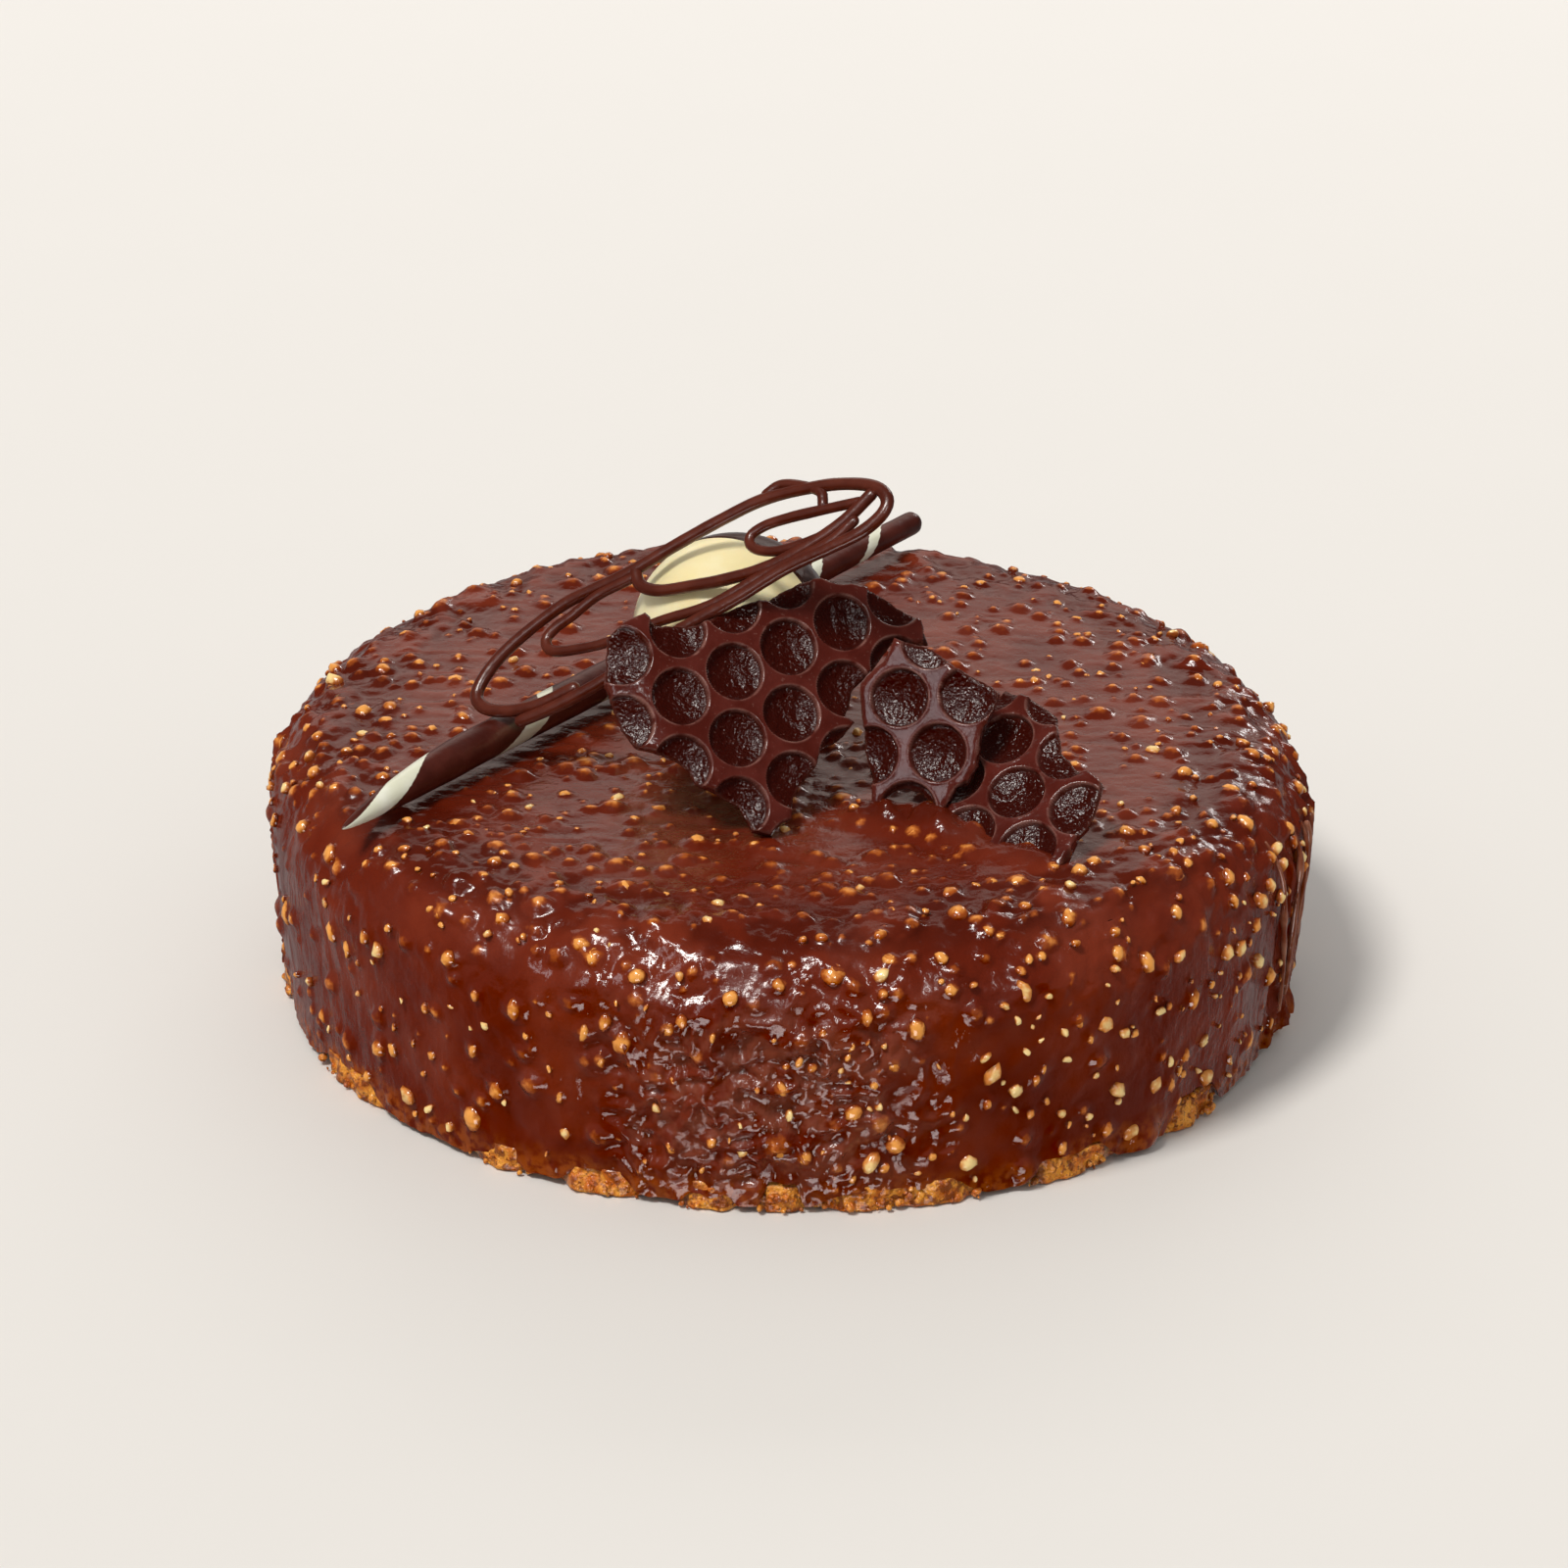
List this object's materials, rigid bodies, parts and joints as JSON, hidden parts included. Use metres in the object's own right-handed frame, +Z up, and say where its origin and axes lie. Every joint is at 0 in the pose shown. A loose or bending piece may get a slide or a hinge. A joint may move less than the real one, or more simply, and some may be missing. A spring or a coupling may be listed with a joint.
{
  "type": "chocolate hazelnut cake",
  "caption": "Round glazed cake with a nut-studded glossy coat, a thin biscuit base and moulded chocolate dressing on top: a ball, a long roll, piped loops and dimpled sheets.",
  "frame": {"origin": "centre of the bounding box, on the surface that the cake stands on", "axes": "+Z up, -Y towards the side that the dressing faces, +X to the right seen from there"},
  "size_m": [0.24, 0.24, 0.1346],
  "materials": {
    "glaze": "glossy milk chocolate glaze over chopped nuts",
    "biscuit": "matt baked crumb",
    "ivory_chocolate": "satin white chocolate",
    "dark_chocolate": "satin dark chocolate",
    "roll_chocolate": "satin milk chocolate"
  },
  "bodies": {
    "root": {"glazed_cake": "glaze", "biscuit_base": "biscuit", "ball_ivory": "ivory_chocolate", "ball_dark": "dark_chocolate", "chocolate_pencil": "roll_chocolate", "piped_swirl": "roll_chocolate", "sheet_left": "dark_chocolate", "sheet_middle": "dark_chocolate", "sheet_right": "dark_chocolate"}
  },
  "joints": []
}
